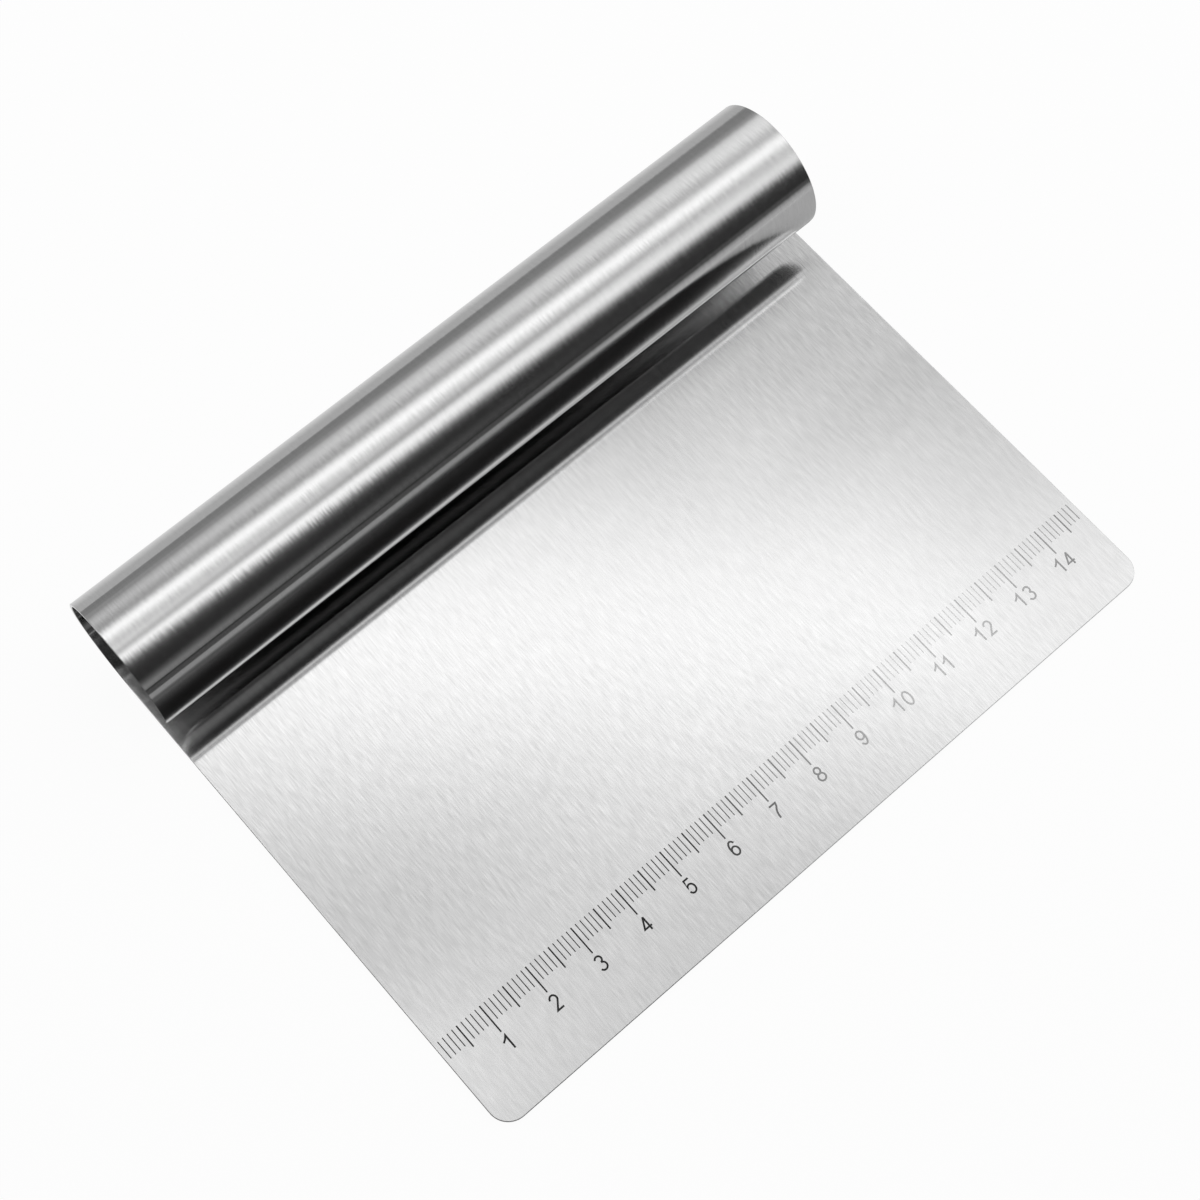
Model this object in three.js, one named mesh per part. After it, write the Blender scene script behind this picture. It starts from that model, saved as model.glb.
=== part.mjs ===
// Dough scraper rolled from one sheet of brushed stainless steel: a flat blade, and the open
// tubular handle that the far edge of the sheet is rolled into. The lip of the roll stops
// short of the blade, so that fingertips and water can pass under it.
//
// The scraper lies on its back face. X runs along the scraping edge, Y from the scraping edge
// to the handle and Z up. The origin is under the middle of the whole.

import * as THREE from 'three';

// Driving dimensions, in millimetres, and the roll's sweep in degrees
const sheetWidth = 149.2;
const sheetThickness = 0.65;
const bladeDepth = 100.5; // from the scraping edge to the line where the roll starts
const scrapingCornerRadius = 4;
const handleRadius = 13; // outside of the roll
const rollSweep = 303; // from the blade round to the lip
const lipCornerRadius = 6;
const edgeBreak = 0.15; // arrises softened on both faces of the sheet

// Facets of the round forms
const facetsPerQuarterRoll = 24;
const facetsPerCorner = 8;

// Places that follow from the dimensions
const quarterTurn = Math.PI / 2;
const halfWidth = sheetWidth / 2;
const scrapingEdgeY = -(bladeDepth + handleRadius) / 2;
const rollAxisY = scrapingEdgeY + bladeDepth;
const neutralRadius = handleRadius - sheetThickness / 2;
const rollAngle = THREE.MathUtils.degToRad(rollSweep);
const blankLength = bladeDepth + neutralRadius * rollAngle;

// A point of the flat blank, carried to its place on the blade or round the roll.
// along is measured from the scraping edge, through from the back face of the sheet.
function bend(x, along, through) {
  if (along <= bladeDepth) {
    return new THREE.Vector3(x, scrapingEdgeY + along, through);
  }
  const angle = (along - bladeDepth) / neutralRadius;
  const radius = handleRadius - through;
  const y = rollAxisY + radius * Math.sin(angle);
  const z = handleRadius - radius * Math.cos(angle);
  return new THREE.Vector3(x, y, z);
}

// A station is a place on the blank's side outline: its half width and its distance along,
// at the full outline and at the outline moved in by the edge break.
function sideStation(along) {
  return {
    full: new THREE.Vector2(halfWidth, along),
    broken: new THREE.Vector2(halfWidth - edgeBreak, along),
  };
}

function cornerStations(radius, centreAlong, startAngle) {
  const centre = new THREE.Vector2(halfWidth - radius, centreAlong);
  const onArc = (arcRadius, angle) =>
    new THREE.Vector2(Math.cos(angle), Math.sin(angle)).multiplyScalar(arcRadius).add(centre);
  return Array.from({ length: facetsPerCorner + 1 }, (_, i) => {
    const angle = startAngle + (quarterTurn * i) / facetsPerCorner;
    return { full: onArc(radius, angle), broken: onArc(radius - edgeBreak, angle) };
  });
}

// The sheet's cross-section at a station: a thin rectangle with its four corners broken
function sectionAt({ full, broken }) {
  const lowBreak = edgeBreak;
  const highBreak = sheetThickness - edgeBreak;
  return [
    bend(-broken.x, broken.y, 0),
    bend(broken.x, broken.y, 0),
    bend(full.x, full.y, lowBreak),
    bend(full.x, full.y, highBreak),
    bend(broken.x, broken.y, sheetThickness),
    bend(-broken.x, broken.y, sheetThickness),
    bend(-full.x, full.y, highBreak),
    bend(-full.x, full.y, lowBreak),
  ];
}

// A closed strip of sheet, lofted through the cross-sections at its stations
function loftSheet(stations) {
  const sections = stations.map(sectionAt);
  const corners = sections[0].length;
  const triangles = [];
  const addQuad = (a, b, c, d) => triangles.push(a, b, c, a, c, d);

  for (let s = 0; s < sections.length - 1; s += 1) {
    const here = s * corners;
    const next = here + corners;
    for (let k = 0; k < corners; k += 1) {
      const k2 = (k + 1) % corners;
      addQuad(here + k, next + k, next + k2, here + k2);
    }
  }

  // End faces: a broken arris, the cut edge of the sheet and the other broken arris
  const last = (sections.length - 1) * corners;
  for (const [a, b, c, d] of [[0, 1, 2, 7], [7, 2, 3, 6], [6, 3, 4, 5]]) {
    addQuad(a, b, c, d);
    addQuad(last + d, last + c, last + b, last + a);
  }

  const geometry = new THREE.BufferGeometry().setFromPoints(sections.flat());
  geometry.setIndex(triangles);
  geometry.computeVertexNormals();
  return geometry;
}

function brushedSteel() {
  return new THREE.MeshStandardMaterial({ color: 0xcfcfce, roughness: 0.25, metalness: 1 });
}

// Flat blade, from the rounded corners of the scraping edge to the start of the roll
function makeBlade() {
  const corners = cornerStations(scrapingCornerRadius, scrapingCornerRadius, -quarterTurn);
  const blade = new THREE.Mesh(loftSheet([...corners, sideStation(bladeDepth)]), brushedSteel());
  blade.name = 'blade';
  return blade;
}

// Rolled handle, from the end of the blade round to the lip
function makeRolledHandle() {
  const facetAngle = quarterTurn / facetsPerQuarterRoll;
  const lipCornerStart = blankLength - lipCornerRadius;
  const straight = [];
  for (let angle = 0; bladeDepth + neutralRadius * angle < lipCornerStart; angle += facetAngle) {
    straight.push(sideStation(bladeDepth + neutralRadius * angle));
  }
  const corners = cornerStations(lipCornerRadius, lipCornerStart, 0);
  const handle = new THREE.Mesh(loftSheet([...straight, ...corners]), brushedSteel());
  handle.name = 'rolled_handle';
  return handle;
}

const doughScraper = new THREE.Group();
doughScraper.add(makeBlade(), makeRolledHandle());

export default doughScraper;
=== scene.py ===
"""Looks of a dough scraper rolled from one sheet of brushed stainless steel.

Lengths are in metres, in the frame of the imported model: X runs along the scraping edge,
Y from the scraping edge to the rolled handle, and Z up from the face that it lies on.
"""

import math
from collections import namedtuple

import bpy
from mathutils import Matrix, Vector


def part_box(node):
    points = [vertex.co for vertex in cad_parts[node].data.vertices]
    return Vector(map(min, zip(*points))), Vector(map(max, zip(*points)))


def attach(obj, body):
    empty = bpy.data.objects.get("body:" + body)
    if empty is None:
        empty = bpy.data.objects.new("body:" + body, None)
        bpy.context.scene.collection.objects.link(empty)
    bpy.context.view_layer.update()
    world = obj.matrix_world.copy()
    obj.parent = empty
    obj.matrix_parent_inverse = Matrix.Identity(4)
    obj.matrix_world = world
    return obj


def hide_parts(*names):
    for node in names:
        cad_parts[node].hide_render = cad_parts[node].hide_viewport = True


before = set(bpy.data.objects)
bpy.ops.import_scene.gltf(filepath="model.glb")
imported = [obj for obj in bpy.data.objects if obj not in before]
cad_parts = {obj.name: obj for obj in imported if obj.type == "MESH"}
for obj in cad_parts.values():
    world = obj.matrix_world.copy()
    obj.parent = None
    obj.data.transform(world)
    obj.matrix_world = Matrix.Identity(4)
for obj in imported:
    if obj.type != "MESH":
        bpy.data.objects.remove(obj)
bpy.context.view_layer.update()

MM = 0.001

# Sizes of the sheet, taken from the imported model
blade_low, blade_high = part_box("blade")
_, handle_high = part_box("rolled_handle")
THICKNESS = blade_high.z - blade_low.z
HALF_WIDTH = blade_high.x
EDGE_Y = blade_low.y
ROLL_Y = blade_high.y
BLADE_DEPTH = ROLL_Y - EDGE_Y
ROLL_RADIUS = handle_high.z / 2
NEUTRAL_RADIUS = ROLL_RADIUS - THICKNESS / 2
ROLL_ANGLE = math.radians(303)
BLANK_LENGTH = BLADE_DEPTH + NEUTRAL_RADIUS * ROLL_ANGLE
SCRAPING_CORNER = 4 * MM
LIP_CORNER = 6 * MM
# Where the roll is a little uneven: the middle of the place and its reach on both sides, in
# degrees round the roll, and how far the surface leans there from a true round, in degrees
ROLL_LEANS = [(236, 10, 1.8), (265, 20, -5.0), (286, 15, 4.5)]

# Rounding of the sheet's edges, and the fineness of its mesh
EDGE_ROUND = 0.1 * MM
COLUMNS = 40
CORNER_STEPS = 16
BLADE_STEPS = 24
ROLL_STEPS = 128
ROUND_STEPS = 4

# Material slots of the sheet: its front, which is also the inside of the roll, and its back
FRONT_FINISH = 0
BACK_FINISH = 1

# The scale marked on the blade, measured from its left side and from the tops of its ticks
SCALE_TOP_Y = EDGE_Y + 18.49 * MM
SCALE_LENGTH_MM = 148
BOLD_EVERY_MM = 5
NUMERAL_EVERY_MM = 10
TICK_LONG = 5.65 * MM
TICK_HALF = 4.53 * MM
TICK_SHORT = 3.6 * MM
TICK_WIDTH = 0.175 * MM
TICK_WIDTH_BOLD = 0.27 * MM
NUMERAL_DROP = 7.83 * MM
NUMERAL_HEIGHT = 3.0 * MM
NUMERAL_WIDTH = 1.7 * MM
NUMERAL_STROKE = 0.34 * MM
NUMERAL_SPACING = 2.1 * MM
MARK_RISE = 0.006 * MM
MARK_STEP = 0.001 * MM
MARK_SUNK = 0.02 * MM
MITRE_LIMIT = 0.35
ARC_STEPS = 14
RING_STEPS = 24

# The camera of the photograph
LENS_MM = 69.1
SENSOR_MM = 36.0
NEAREST_SEEN = 10 * MM
CAMERA_AT = Vector((-101.51, -102.47, 381.34)) * MM
CAMERA_AIM = Vector((-2.11, 2.79, 0.65)) * MM
IMAGE_RIGHT = Vector((0.75253, -0.65839, 0.01446))

# The studio: a wide soft ceiling of light over a pale floor
CEILING_HEIGHT = 0.6
ROOM_REACH = 4.0
FARTHEST_SEEN = 4 * ROOM_REACH
FLOOR_DROP = 0.05 * MM


# Mesh helpers


def add_object(name, vertices, faces):
    mesh = bpy.data.meshes.new(name)
    mesh.from_pydata(vertices, [], faces)
    mesh.update()
    made = bpy.data.objects.new(name, mesh)
    bpy.context.scene.collection.objects.link(made)
    return made


# The rolled sheet


def turn_at(along):
    """How far the sheet has turned round the roll, in radians, at a distance along the blank."""
    return max(0.0, along - BLADE_DEPTH) / NEUTRAL_RADIUS


def bend(x, along, through):
    """A point of the flat blank, carried to its place on the blade or round the roll."""
    turn = turn_at(along)
    radius = ROLL_RADIUS - through
    y = ROLL_Y + min(0.0, along - BLADE_DEPTH) + radius * math.sin(turn)
    z = ROLL_RADIUS - radius * math.cos(turn)
    return Vector((x, y, z))


def roll_lean(turn):
    """How far the uneven roll leans from a true round, in radians, at a turn round it."""
    lean = 0.0
    for middle, reach, degrees in ROLL_LEANS:
        off = min(1.0, abs(math.degrees(turn) - middle) / reach)
        lean += math.radians(degrees) * (1 + math.cos(math.pi * off)) / 2
    return lean


def bend_direction(direction, along):
    """A direction on the flat blank, turned as the sheet is turned there."""
    turn = turn_at(along)
    turn += roll_lean(turn)
    across, forward, through = direction
    y = forward * math.cos(turn) - through * math.sin(turn)
    z = forward * math.sin(turn) + through * math.cos(turn)
    return Vector((across, y, z))


def corner_stations(radius, centre_along, start_angle):
    centre = Vector((HALF_WIDTH - radius, centre_along))
    stations = []
    for i in range(CORNER_STEPS + 1):
        angle = start_angle + math.pi / 2 * i / CORNER_STEPS
        stations.append((centre, Vector((math.cos(angle), math.sin(angle))), radius))
    return stations


def side_station(along):
    return Vector((0, along)), Vector((1, 0)), HALF_WIDTH


def blank_stations():
    """The right side of the blank's outline, from the scraping edge to the lip. Each station is
    a centre, a direction out of it and the reach of the outline in that direction."""
    stations = corner_stations(SCRAPING_CORNER, SCRAPING_CORNER, -math.pi / 2)
    flat = BLADE_DEPTH - SCRAPING_CORNER
    for i in range(1, BLADE_STEPS + 1):
        stations.append(side_station(SCRAPING_CORNER + flat * i / BLADE_STEPS))
    lip_start = BLANK_LENGTH - LIP_CORNER
    for i in range(1, ROLL_STEPS):
        stations.append(side_station(BLADE_DEPTH + (lip_start - BLADE_DEPTH) * i / ROLL_STEPS))
    return stations + corner_stations(LIP_CORNER, lip_start, 0.0)


def rounding_rings():
    """From the front face round the cut edge to the back: inset, depth and lean of the normal."""
    rings = []
    for i in range(ROUND_STEPS + 1):
        lean = math.pi / 2 * i / ROUND_STEPS
        inset = EDGE_ROUND * (1 - math.sin(lean))
        rings.append((inset, THICKNESS - EDGE_ROUND * (1 - math.cos(lean)), lean))
    back = [(inset, THICKNESS - through, math.pi - lean) for inset, through, lean in rings]
    return rings + back[::-1]


def make_sheet():
    """The whole sheet, blade and roll, as one closed skin with rounded edges."""
    stations = blank_stations()
    rows = len(stations)
    vertices, normals, places, faces, finishes = [], [], [], [], []

    def add_point(x, along, through, normal):
        vertices.append(bend(x, along, through))
        normals.append(bend_direction(normal, along))
        places.append((x + HALF_WIDTH, along))
        return len(vertices) - 1

    def add_face_grid(through, facing):
        grid = []
        for centre, direction, reach in stations:
            end = centre + direction * (reach - EDGE_ROUND)
            spots = [end.x * (2 * c / COLUMNS - 1) for c in range(COLUMNS + 1)]
            grid.append([add_point(x, end.y, through, (0, 0, facing)) for x in spots])
        return grid

    front = add_face_grid(THICKNESS, 1)
    back = add_face_grid(0.0, -1)
    for r in range(rows - 1):
        for c in range(COLUMNS):
            faces.append((front[r][c], front[r][c + 1], front[r + 1][c + 1], front[r + 1][c]))
            faces.append((back[r][c], back[r + 1][c], back[r + 1][c + 1], back[r][c + 1]))
            finishes.extend((FRONT_FINISH, BACK_FINISH))

    # The rim runs along the scraping edge, up the right side, back along the lip and down
    first, last = stations[0], stations[-1]
    spread = [2 * c / COLUMNS - 1 for c in range(COLUMNS + 1)]
    mirror = Vector((-1, 1))
    rim = [(0, c, Vector((first[0].x * spread[c], first[0].y)), first[1], first[2])
           for c in range(COLUMNS + 1)]
    rim += [(r, COLUMNS, *stations[r]) for r in range(1, rows - 1)]
    rim += [(rows - 1, c, Vector((last[0].x * spread[c], last[0].y)), last[1], last[2])
            for c in range(COLUMNS, -1, -1)]
    rim += [(r, 0, stations[r][0] * mirror, stations[r][1] * mirror, stations[r][2])
            for r in range(rows - 2, 0, -1)]

    rings = rounding_rings()
    loops = [[front[r][c] for r, c, *_ in rim]]
    for inset, through, lean in rings[1:-1]:
        loop = []
        for _, _, centre, direction, reach in rim:
            at = centre + direction * (reach - inset)
            out = direction * math.sin(lean)
            loop.append(add_point(at.x, at.y, through, (out.x, out.y, math.cos(lean))))
        loops.append(loop)
    loops.append([back[r][c] for r, c, *_ in rim])
    for upper, lower in zip(loops, loops[1:]):
        for i in range(len(rim)):
            j = (i + 1) % len(rim)
            faces.append((upper[i], lower[i], lower[j], upper[j]))
            finishes.append(FRONT_FINISH)

    sheet = add_object("rolled_sheet", vertices, faces)
    sheet.data.polygons.foreach_set("material_index", finishes)
    sheet.data.shade_smooth()
    sheet.data.normals_split_custom_set_from_vertices(normals)
    blank_map = sheet.data.uv_layers.new(name="blank")
    for loop in sheet.data.loops:
        blank_map.uv[loop.index].vector = places[loop.vertex_index]
    return sheet


# The marks of the scale


def add_plate(vertices, faces, left, right, closed, rise):
    """A flat mark between two sides, a hair proud of the blade and sunk a little into it."""
    top = blade_high.z + rise
    bottom = blade_high.z - MARK_SUNK
    start = len(vertices)
    count = len(left)
    for a, b in zip(left, right):
        vertices.extend(Vector((p.x, p.y, z)) for z in (top, bottom) for p in (a, b))
    for i in range(count if closed else count - 1):
        a = start + 4 * i
        b = start + 4 * ((i + 1) % count)
        faces.append((a, a + 1, b + 1, b))
        faces.append((a + 2, b + 2, b + 3, a + 3))
        faces.append((a, b, b + 2, a + 2))
        faces.append((a + 1, a + 3, b + 3, b + 1))
    if not closed:
        end = start + 4 * (count - 1)
        faces.append((start, start + 2, start + 3, start + 1))
        faces.append((end, end + 1, end + 3, end + 2))


def stroke_sides(path, width, closed):
    """The two sides of a pen stroke along a path, mitred up to a limit where the path turns."""
    left, right = [], []
    count = len(path)
    for i, here in enumerate(path):
        before = path[i - 1] if closed or i else None
        after = path[(i + 1) % count] if closed or i < count - 1 else None
        into = (here - before).normalized() if before is not None else None
        out = (after - here).normalized() if after is not None else into
        into = out if into is None else into
        normal = Vector((-(into.y + out.y), into.x + out.x)).normalized()
        mitre = max(MITRE_LIMIT, normal.dot(Vector((-out.y, out.x))))
        left.append(here + normal * (width / 2 / mitre))
        right.append(here - normal * (width / 2 / mitre))
    return left, right


def arc(centre, radii, start, end, steps=ARC_STEPS):
    """Points of an elliptical arc, from a start to an end angle in degrees."""
    points = []
    for i in range(steps + 1):
        angle = math.radians(start + (end - start) * i / steps)
        points.append((centre[0] + radii[0] * math.cos(angle),
                       centre[1] + radii[1] * math.sin(angle)))
    return points


def ring(centre, radii):
    return arc(centre, radii, 0, 360, RING_STEPS)[:-1]


# Plain numerals, drawn in a box one wide and one high: strokes, and whether each is closed
NUMERALS = {
    "0": [(ring((0.5, 0.5), (0.5, 0.5)), True)],
    "1": [([(-0.18, 0.67), (0.26, 0.81), (0.58, 1.0), (0.58, 0.0)], False)],
    "2": [(arc((0.5, 0.72), (0.48, 0.28), 170, -25) + [(0.03, 0.0), (1.0, 0.0)], False)],
    "3": [(arc((0.47, 0.765), (0.44, 0.235), 160, -80), False),
          (arc((0.48, 0.27), (0.5, 0.27), 85, -160), False)],
    "4": [([(1.06, 0.26), (-0.06, 0.26), (0.72, 1.0)], False),
          ([(0.72, 1.0), (0.72, 0.0)], False)],
    "5": [([(0.92, 1.0), (0.2, 1.0), (0.08, 0.48)]
           + arc((0.47, 0.32), (0.5, 0.32), 135, -160), False)],
    "6": [(ring((0.5, 0.3), (0.47, 0.3)), True),
          (arc((0.53, 0.5), (0.5, 0.5), 35, 195, 18), False)],
    "7": [([(0.0, 1.0), (1.0, 1.0)] + arc((1.35, 0.0), (1.05, 0.86), 118, 180, 8), False)],
    "8": [(ring((0.5, 0.765), (0.41, 0.235)), True),
          (ring((0.5, 0.27), (0.5, 0.27)), True)],
    "9": [(ring((0.5, 0.7), (0.47, 0.3)), True),
          (arc((0.47, 0.5), (0.5, 0.5), 15, -145, 18), False)],
}


def scale_point(x, drop):
    """A place on the scale: x from the left side of the blade, drop below the ticks' tops."""
    return Vector((x - HALF_WIDTH, SCALE_TOP_Y - drop))


def make_ticks(name, bold):
    vertices, faces = [], []
    steps = range(1, SCALE_LENGTH_MM + 1)
    width = TICK_WIDTH_BOLD if bold else TICK_WIDTH
    for step in [step for step in steps if (step % BOLD_EVERY_MM == 0) == bold]:
        length = TICK_HALF if bold else TICK_SHORT
        if step % NUMERAL_EVERY_MM == 0:
            length = TICK_LONG
        path = [scale_point(step * MM, 0.0), scale_point(step * MM, length)]
        add_plate(vertices, faces, *stroke_sides(path, width, False), False, MARK_RISE)
    return add_object(name, vertices, faces)


def make_numerals():
    vertices, faces = [], []
    pen = NUMERAL_STROKE
    size = Vector((NUMERAL_WIDTH - pen, NUMERAL_HEIGHT - pen))
    for number in range(1, SCALE_LENGTH_MM // NUMERAL_EVERY_MM + 1):
        digits = str(number)
        for place, digit in enumerate(digits):
            shift = (place - (len(digits) - 1) / 2) * NUMERAL_SPACING
            centre = scale_point(number * NUMERAL_EVERY_MM * MM + shift, NUMERAL_DROP)
            for order, (stroke, closed) in enumerate(NUMERALS[digit]):
                path = [centre + (Vector(p) - Vector((0.5, 0.5))) * size for p in stroke]
                sides = stroke_sides(path, pen, closed)
                add_plate(vertices, faces, *sides, closed, MARK_RISE + MARK_STEP * order)
    return add_object("scale_numerals", vertices, faces)


# Material helpers


class Nodes:
    """A short way to write a material's nodes."""

    def __init__(self, tree):
        self.tree = tree
        tree.nodes.clear()

    def add(self, kind, settings=(), **inputs):
        node = self.tree.nodes.new(kind)
        for name, value in dict(settings).items():
            setattr(node, name, value)
        for name, value in inputs.items():
            self.feed(node, name.replace("_", " "), value)
        return node

    def feed(self, node, name, value):
        socket = node.inputs[int(name)] if name.isdigit() else node.inputs[name]
        if isinstance(value, bpy.types.NodeSocket):
            self.tree.links.new(value, socket)
        else:
            socket.default_value = value

    def math(self, operation, a, b=0.0, c=0.0):
        node = self.add("ShaderNodeMath", {"operation": operation})
        for index, value in enumerate((a, b, c)):
            self.feed(node, str(index), value)
        return node.outputs[0]

    def between(self, share, low, high):
        """From low, where share is 0, evenly to high, where it is 1."""
        return self.math("MULTIPLY_ADD", share, high - low, low)

    def ramp(self, value, low, high, to_low, to_high):
        """A soft step from to_low, where value is low, to to_high, where it is high."""
        node = self.add("ShaderNodeMapRange", {"interpolation_type": "SMOOTHSTEP"})
        for index, number in enumerate((value, low, high, to_low, to_high)):
            self.feed(node, str(index), number)
        return node.outputs[0]


def new_material(name):
    material = bpy.data.materials.new(name)
    material.use_nodes = True
    return material, Nodes(material.node_tree)


# Finish of the sheet: fine lines brushed from the scraping edge to the lip

STEEL_REFLECTANCE = 0.63
# Painted light on the sheet's colour: a painted highlight brightens its scraping edge towards
# the left, painted shade darkens it at the right corner, a painted highlight brightens a patch
# farther up the right side, painted shade darkens the inside of the roll, and painted shade
# darkens a band above the lip that fades to the right. The band starts and ends softly,
# between these degrees round the roll.
EDGE_HIGHLIGHT_GAIN = 0.15
EDGE_HIGHLIGHT_ALONG = (15 * MM, 45 * MM)
EDGE_HIGHLIGHT_FADE = (20 * MM, 95 * MM)
SHADED_CORNER_LOSS = 0.1
SHADED_CORNER_ALONG = (25 * MM, 50 * MM)
SHADED_CORNER_FADE = (108 * MM, 138 * MM)
HIGHLIGHT_PATCH_GAIN = 0.1
HIGHLIGHT_PATCH_START = (54 * MM, 66 * MM)
HIGHLIGHT_PATCH_END = (77 * MM, 84 * MM)
HIGHLIGHT_PATCH_FADE = (96 * MM, 117 * MM)
INSIDE_PAINTED_SHADE = 0.8
INSIDE_RAMP = 4 * MM
LIP_PAINTED_SHADE = 0.4
LIP_SHADE_START = (239, 245)
LIP_SHADE_END = (260, 277)
LIP_SHADE_FADE = (115 * MM, 138 * MM)
BRUSH_ROUGHNESS = 0.134
ROUGHNESS_SPREAD = 0.008
LINE_WIDTH = 0.22 * MM
LINE_LENGTH = 3.2 * MM
BAND_WIDTH = 0.7 * MM
BAND_LENGTH = 4 * MM
BAND_SHARE = 0.4
LINE_DETAIL = 2.0
BAND_DETAIL = 1.0
DETAIL_STRENGTH = 0.6
# The level of a normal map where the surface doesn't lean
NO_LEAN = 0.5
BLADE_LINE_SHADE = 0.14
ROLL_LINE_SHADE = 0.06
BLADE_LINE_TILT = 0.022
ROLL_LINE_TILT = 0.045


def streaks(n, blank, width, length, detail):
    """Noise drawn out along the brushing, between 0 and 1."""
    drawn = n.add("ShaderNodeVectorMath", {"operation": "MULTIPLY"})
    n.tree.links.new(blank, drawn.inputs[0])
    drawn.inputs[1].default_value = (1 / width, 1 / length, 0)
    noise = n.add("ShaderNodeTexNoise", {"noise_dimensions": "2D"},
                  Vector=drawn.outputs[0], Scale=1.0, Detail=detail, Roughness=DETAIL_STRENGTH)
    return noise.outputs["Fac"]


def front_tone(n, blank):
    """Painted light on the blade and on the inside of the roll, over the blank: painted
    highlights and painted shade that scale its brightness.
    """
    place = n.add("ShaderNodeSeparateXYZ", Vector=blank).outputs
    # Painted light: a painted highlight along the scraping edge towards the left, painted shade
    # at the right corner, a painted highlight on a patch farther up the right side, painted shade
    # inside the roll
    edge_highlight = n.math("MULTIPLY", n.ramp(place["Y"], *EDGE_HIGHLIGHT_ALONG, EDGE_HIGHLIGHT_GAIN, 0.0),
                    n.ramp(place["X"], *EDGE_HIGHLIGHT_FADE, 1.0, 0.0))
    corner = n.math("MULTIPLY", n.ramp(place["Y"], *SHADED_CORNER_ALONG, SHADED_CORNER_LOSS, 0.0),
                    n.ramp(place["X"], *SHADED_CORNER_FADE, 0.0, 1.0))
    patch = n.math("MULTIPLY", n.ramp(place["Y"], *HIGHLIGHT_PATCH_START, 0.0, HIGHLIGHT_PATCH_GAIN),
                   n.ramp(place["Y"], *HIGHLIGHT_PATCH_END, 1.0, 0.0))
    patch = n.math("MULTIPLY", patch, n.ramp(place["X"], *HIGHLIGHT_PATCH_FADE, 0.0, 1.0))
    inside = n.ramp(place["Y"], BLADE_DEPTH, BLADE_DEPTH + INSIDE_RAMP, 1.0, INSIDE_PAINTED_SHADE)
    gain = n.math("SUBTRACT", n.math("ADD", edge_highlight, patch), corner)
    return n.math("ADD", inside, gain)


def back_tone(n, blank):
    """Painted shade on the blade's back and on the outside of the roll, over the blank: a darker
    band above the lip.
    """
    place = n.add("ShaderNodeSeparateXYZ", Vector=blank).outputs
    # Painted shade: a darker band round the roll above the lip, fading out towards the right
    start, full, fall, end = [BLADE_DEPTH + NEUTRAL_RADIUS * math.radians(degrees)
                              for degrees in LIP_SHADE_START + LIP_SHADE_END]
    band = n.math("MULTIPLY", n.ramp(place["Y"], start, full, 0.0, 1.0),
                  n.ramp(place["Y"], fall, end, 1.0, 0.0))
    band = n.math("MULTIPLY", band, n.ramp(place["X"], *LIP_SHADE_FADE, 1.0, 0.0))
    return n.math("MULTIPLY_ADD", band, LIP_PAINTED_SHADE - 1, 1.0)


def brushed_steel(name, line_tilt, line_shade, painted_light):
    """Each line leans the surface to one side, so reflections spread across the brushing."""
    material, n = new_material(name)
    blank = n.add("ShaderNodeUVMap", {"uv_map": "blank"}).outputs["UV"]
    lines = streaks(n, blank, LINE_WIDTH, LINE_LENGTH, LINE_DETAIL)
    bands = streaks(n, blank, BAND_WIDTH, BAND_LENGTH, BAND_DETAIL)
    fine = n.math("MULTIPLY", lines, 1 - BAND_SHARE)
    both = n.math("MULTIPLY_ADD", bands, BAND_SHARE, fine)
    shade = n.between(both, STEEL_REFLECTANCE - line_shade, STEEL_REFLECTANCE + line_shade)
    # The steel's colour is scaled here by painted light: painted highlights and painted shade
    shade = n.math("MULTIPLY", shade, painted_light(n, blank))
    colour = n.add("ShaderNodeCombineColor", Red=shade, Green=shade, Blue=shade).outputs[0]
    rough = n.between(bands, BRUSH_ROUGHNESS - ROUGHNESS_SPREAD,
                      BRUSH_ROUGHNESS + ROUGHNESS_SPREAD)
    tilt = n.between(lines, NO_LEAN - line_tilt / 2, NO_LEAN + line_tilt / 2)
    lean = n.add("ShaderNodeCombineColor", Red=tilt, Green=NO_LEAN, Blue=1.0).outputs[0]
    normal = n.add("ShaderNodeNormalMap", {"uv_map": "blank"}, Color=lean).outputs[0]
    tangent = n.add("ShaderNodeTangent", {"direction_type": "UV_MAP", "uv_map": "blank"})
    steel = n.add("ShaderNodeBsdfPrincipled", Base_Color=colour, Roughness=rough,
                  Metallic=1.0, Anisotropic=1.0, Normal=normal, Tangent=tangent.outputs[0])
    n.add("ShaderNodeOutputMaterial", Surface=steel.outputs[0])
    return material


# Finish of the marks: dark, with a fine grain, and painted paler round one place on the right of
# the scale, a painted reflection of the bright light that they catch there

MARK_DARK = 0.022
MARK_GLOSS = 0.25
BOLD_PAINTED_SHEEN = 0.74
FINE_PAINTED_SHEEN = 0.95
SHEEN_X = 37 * MM
SHEEN_REACH = 64 * MM
GRAIN_SIZE = 0.25 * MM
GRAIN_DETAIL = 2.0
GRAIN_SHADE = (0.7, 1.3)
GRAIN_ROUGHNESS = (0.5, 0.7)


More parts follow.
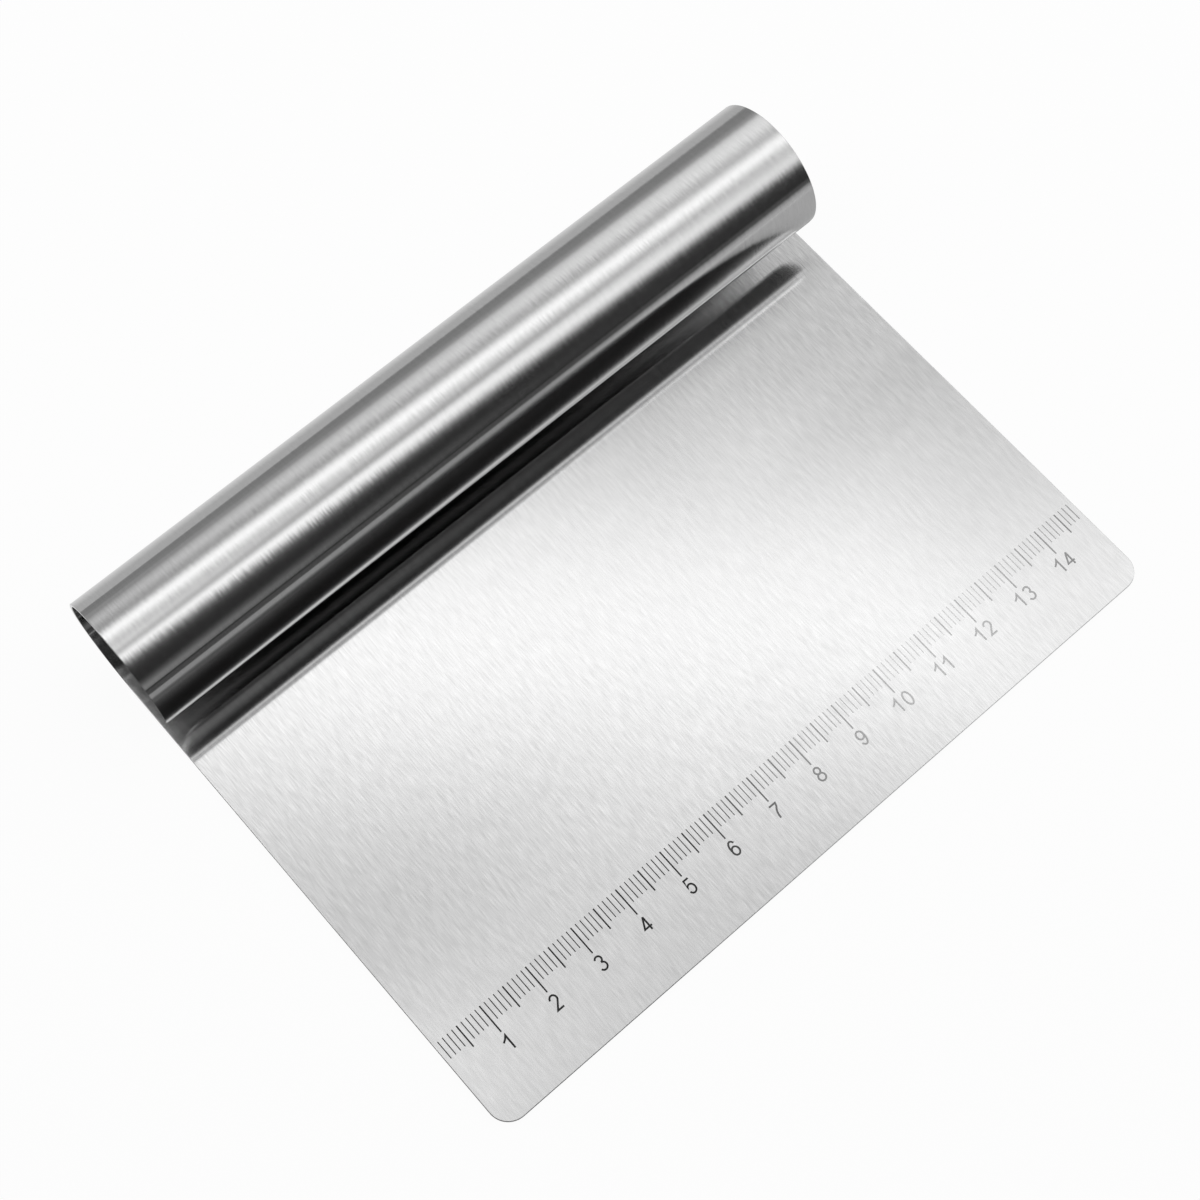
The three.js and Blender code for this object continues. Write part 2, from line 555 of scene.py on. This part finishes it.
def etched_mark(name, sheen_shade):
    material, n = new_material(name)
    place = n.add("ShaderNodeNewGeometry").outputs["Position"]
    x = n.add("ShaderNodeSeparateXYZ", Vector=place).outputs["X"]
    # Painted reflection: the marks are painted paler near one place on the right of the scale
    away = n.math("ABSOLUTE", n.math("SUBTRACT", x, SHEEN_X))
    painted_sheen = n.ramp(away, 0.0, SHEEN_REACH, sheen_shade, MARK_DARK)
    grain = n.add("ShaderNodeTexNoise", Vector=place, Scale=1 / GRAIN_SIZE,
                  Detail=GRAIN_DETAIL).outputs["Fac"]
    shade = n.math("MULTIPLY", painted_sheen, n.between(grain, *GRAIN_SHADE))
    colour = n.add("ShaderNodeCombineColor", Red=shade, Green=shade, Blue=shade).outputs[0]
    rough = n.between(grain, *GRAIN_ROUGHNESS)
    mark = n.add("ShaderNodeBsdfPrincipled", Base_Color=colour, Roughness=rough,
                 Specular_IOR_Level=MARK_GLOSS)
    n.add("ShaderNodeOutputMaterial", Surface=mark.outputs[0])
    return material


# The studio


# Soft strips of light across the ceiling: how far each lies from the middle of the scraper,
# the direction it runs in, in degrees from X, the half width of its even core and of the whole
# strip, its light, and how much of that light it gains in each metre along it. The last one
# is the darker gap between two lamps.
Strip = namedtuple("Strip", "offset heading core half_width light growth")
STRIPS = [
    Strip(offset=0.223, heading=-38.8, core=0.0, half_width=0.143, light=1.17, growth=0.23),
    Strip(offset=-0.094, heading=-41.1, core=0.0, half_width=0.143, light=1.31, growth=-0.82),
    Strip(offset=0.757, heading=-49, core=0.15, half_width=0.455, light=0.865, growth=0.9),
    Strip(offset=-2.1, heading=3, core=0.25, half_width=1.3, light=0.235, growth=-2.6),
    Strip(offset=-0.05, heading=-20, core=0.0, half_width=0.087, light=-0.8, growth=-2.9),
]
MOST_GROWTH = 1.5
# Even light between the strips, and the soft edges between its parts: the direction of each
# edge and where it starts and ends
DARK_SIDE = 0.032
FRONT_CEILING = 0.77
BACK_CEILING = 0.39
FAR_CEILING = 0.3
FRONT_EDGE = (-42.3, -0.305, 0.035)
BACK_EDGE = (-46, 0.05, 0.35)
FAR_EDGE = (-46, 1.57, 1.58)
WALL_LIGHT = {"front": 0.09, "right": 0.3, "back": 0.28, "left": 0.2}
SKY_LIGHT = 0.4
# The floor, and its light as metal sees it: far and near in front of the scraper, close to it,
# right under the left and the right of its scraping edge, at its right, just behind it and
# farther behind
FLOOR_COLOUR = 0.9
FLOOR_SHOWN = 0.95
FLOOR_HORIZON = 0.08
FLOOR_FRONT = 0.36
FLOOR_CLOSE = 0.15
FLOOR_EDGE = (0.08, 0.95)
FLOOR_RIGHT = 0.55
FLOOR_BEHIND = 0.86
FLOOR_BEYOND = 0.575
# Where the floor's light changes softly, measured from the middle of the scraper: towards the
# handle, and for the last two named, towards the right
FRONT_RISE = (-2.0, -0.25)
CLOSE_FALL = (-0.11, -0.065)
EDGE_START = (-0.064, -0.059)
EDGE_END = (-0.056, -0.052)
RIGHT_RISE = (-0.3, -0.12)
BEHIND_START = (0.045, 0.06)
BEHIND_FALL = (0.045, 0.125)
EDGE_ACROSS = (-0.06, 0.05)
RIGHT_ACROSS = (0.04, 0.085)


def emission_material(n, material, strength):
    lamp = n.add("ShaderNodeEmission", Strength=strength)
    n.add("ShaderNodeOutputMaterial", Surface=lamp.outputs[0])
    return material


def across_strip(n, place, degrees):
    """Distance from the middle of the scraper, square to a direction given in degrees from X."""
    angle = math.radians(degrees)
    dot = n.add("ShaderNodeVectorMath", {"operation": "DOT_PRODUCT"})
    n.tree.links.new(place, dot.inputs[0])
    dot.inputs[1].default_value = (-math.sin(angle), math.cos(angle), 0)
    return dot.outputs["Value"]


def soft_edge(n, place, edge, low, high):
    degrees, start, end = edge
    return n.ramp(across_strip(n, place, degrees), start, end, low, high)


def ceiling_material():
    material, n = new_material("ceiling_light")
    place = n.add("ShaderNodeNewGeometry").outputs["Position"]
    light = soft_edge(n, place, FRONT_EDGE, DARK_SIDE, FRONT_CEILING)
    back = soft_edge(n, place, BACK_EDGE, 0.0, FRONT_CEILING - BACK_CEILING)
    far = soft_edge(n, place, FAR_EDGE, 0.0, BACK_CEILING - FAR_CEILING)
    light = n.math("SUBTRACT", n.math("SUBTRACT", light, back), far)
    for strip in STRIPS:
        off = n.math("SUBTRACT", across_strip(n, place, strip.heading), strip.offset)
        glow = n.ramp(n.math("ABSOLUTE", off), strip.core, strip.half_width, strip.light, 0.0)
        along = across_strip(n, place, strip.heading - 90)
        growth = n.math("MULTIPLY_ADD", along, strip.growth, 1.0)
        growth = n.math("MAXIMUM", n.math("MINIMUM", growth, MOST_GROWTH), 0.0)
        light = n.math("MULTIPLY_ADD", glow, growth, light)
    return emission_material(n, material, n.math("MAXIMUM", light, 0.0))


def wall_material(name, level):
    material, n = new_material(name)
    return emission_material(n, material, level)


def seen_rays(n):
    """Rays that see a surface straight, and rays that see it in metal or through glass."""
    path = n.add("ShaderNodeLightPath").outputs
    mirrored = n.math("ADD", path["Is Glossy Ray"], path["Is Transmission Ray"])
    return path["Is Camera Ray"], mirrored


def floor_material():
    """White to the camera but for the shadow, and a paler pool of light behind the scraper."""
    material, n = new_material("pale_floor")
    camera, mirrored = seen_rays(n)
    place = n.add("ShaderNodeNewGeometry").outputs["Position"]
    behind = across_strip(n, place, 0)
    beside = across_strip(n, place, -90)
    front = n.ramp(behind, *FRONT_RISE, FLOOR_HORIZON, FLOOR_FRONT)
    front = n.math("MINIMUM", front, n.ramp(behind, *CLOSE_FALL, FLOOR_FRONT, FLOOR_CLOSE))
    edge = n.math("MULTIPLY", n.ramp(behind, *EDGE_START, 0.0, 1.0),
                  n.ramp(behind, *EDGE_END, 1.0, 0.0))
    edge = n.math("MULTIPLY", edge, n.ramp(beside, *EDGE_ACROSS, *FLOOR_EDGE))
    right = n.math("MULTIPLY", n.ramp(beside, *RIGHT_ACROSS, 0.0, FLOOR_RIGHT),
                   n.ramp(behind, *RIGHT_RISE, 0.0, 1.0))
    front = n.math("MAXIMUM", front, n.math("MAXIMUM", edge, right))
    behind_light = n.ramp(behind, *BEHIND_FALL, FLOOR_BEHIND, FLOOR_BEYOND)
    pool = n.add("ShaderNodeMix", {"data_type": "FLOAT"})
    n.feed(pool, "0", n.ramp(behind, *BEHIND_START, 0.0, 1.0))
    n.feed(pool, "2", front)
    n.feed(pool, "3", behind_light)
    pool = n.math("MULTIPLY", mirrored, pool.outputs[0])
    white = n.add("ShaderNodeEmission", Strength=n.math("ADD", camera, pool))
    pale = n.add("ShaderNodeBsdfDiffuse", Color=(FLOOR_COLOUR, FLOOR_COLOUR, FLOOR_COLOUR, 1))
    mix = n.add("ShaderNodeMixShader")
    n.feed(mix, "0", n.math("MULTIPLY_ADD", camera, FLOOR_SHOWN, mirrored))
    n.feed(mix, "1", pale.outputs[0])
    n.feed(mix, "2", white.outputs[0])
    n.add("ShaderNodeOutputMaterial", Surface=mix.outputs[0])
    return material


def add_panel(name, corners, material, shown):
    panel = add_object(name, corners, [(0, 1, 2, 3)])
    panel.data.materials.append(material)
    panel.visible_camera = shown
    return panel


def make_studio():
    far, low, high = ROOM_REACH, -FLOOR_DROP, CEILING_HEIGHT
    floor = [(-far, -far, low), (far, -far, low), (far, far, low), (-far, far, low)]
    ceiling = [(x, y, high) for x, y, _ in reversed(floor)]
    add_panel("floor", floor, floor_material(), True)
    add_panel("ceiling", ceiling, ceiling_material(), False)
    for i, (name, level) in enumerate(WALL_LIGHT.items()):
        (ax, ay, _), (bx, by, _) = floor[i], floor[(i + 1) % len(floor)]
        wall = [(bx, by, low), (ax, ay, low), (ax, ay, high), (bx, by, high)]
        add_panel(name + "_wall", wall, wall_material(name + "_wall", level), False)

    world = bpy.data.worlds.new("studio")
    world.use_nodes = True
    n = Nodes(world.node_tree)
    camera, mirrored = seen_rays(n)
    strength = n.math("MAXIMUM", n.math("ADD", camera, mirrored), SKY_LIGHT)
    sky = n.add("ShaderNodeBackground", Color=(1, 1, 1, 1), Strength=strength)
    n.add("ShaderNodeOutputWorld", Surface=sky.outputs[0])
    bpy.context.scene.world = world


def make_camera():
    lens = bpy.data.cameras.new("camera")
    lens.lens = LENS_MM
    lens.sensor_width = SENSOR_MM
    lens.clip_start = NEAREST_SEEN
    lens.clip_end = FARTHEST_SEEN
    camera = bpy.data.objects.new("camera", lens)
    backward = (CAMERA_AT - CAMERA_AIM).normalized()
    right = (IMAGE_RIGHT - backward * IMAGE_RIGHT.dot(backward)).normalized()
    turn = Matrix((right, backward.cross(right), backward)).transposed()
    camera.matrix_world = Matrix.Translation(CAMERA_AT) @ turn.to_4x4()
    bpy.context.scene.collection.objects.link(camera)
    bpy.context.scene.camera = camera


def dress():
    sheet = make_sheet()
    blade_steel = brushed_steel("brushed_blade", BLADE_LINE_TILT, BLADE_LINE_SHADE, front_tone)
    roll_steel = brushed_steel("brushed_roll", ROLL_LINE_TILT, ROLL_LINE_SHADE, back_tone)
    sheet.data.materials.append(blade_steel)
    sheet.data.materials.append(roll_steel)
    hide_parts("blade", "rolled_handle")
    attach(sheet, "root")
    bold_ink = etched_mark("etched_bold", BOLD_PAINTED_SHEEN)
    fine_ink = etched_mark("etched_fine", FINE_PAINTED_SHEEN)
    bold_ticks = make_ticks("scale_bold_ticks", True)
    fine_ticks = make_ticks("scale_fine_ticks", False)
    inked = [(bold_ticks, bold_ink), (fine_ticks, fine_ink), (make_numerals(), bold_ink)]
    for marks, ink in inked:
        marks.data.materials.append(ink)
        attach(marks, "root")


make_camera()
make_studio()
dress()
bpy.context.scene.view_settings.view_transform = "Standard"
